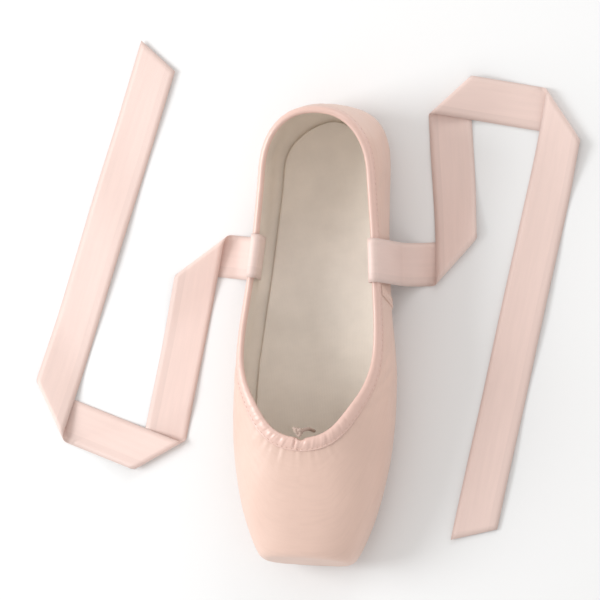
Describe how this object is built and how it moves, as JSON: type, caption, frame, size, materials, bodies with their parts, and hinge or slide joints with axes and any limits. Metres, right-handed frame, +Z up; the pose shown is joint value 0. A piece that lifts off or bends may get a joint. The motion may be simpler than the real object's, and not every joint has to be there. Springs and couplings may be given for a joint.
{
  "type": "pointe shoe",
  "caption": "Satin pointe shoe with a stiffened toe box, flat platform, leather outsole, drawstring binding and tie ribbons, standing empty on its sole.",
  "frame": {"origin": "centre of the shoe's plan at floor level, under the middle of its length, measured without the ribbons and the drawstring", "axes": "+X from the heel to the toe platform, +Y to the shoe's left, +Z up from the floor"},
  "size_m": [0.264, 0.2762, 0.0553],
  "materials": {
    "satin": "satin",
    "binding": "satin",
    "outsole": "suede",
    "insole": "woven cotton",
    "ribbon": "satin",
    "drawstring": "braided cotton"
  },
  "bodies": {
    "root": {"upper": "satin", "binding": "binding", "outsole": "outsole", "insole": "insole", "side_seam_left": "satin", "side_seam_right": "satin", "ribbon_left": "ribbon", "ribbon_right": "ribbon", "drawstring": "drawstring"}
  },
  "joints": []
}
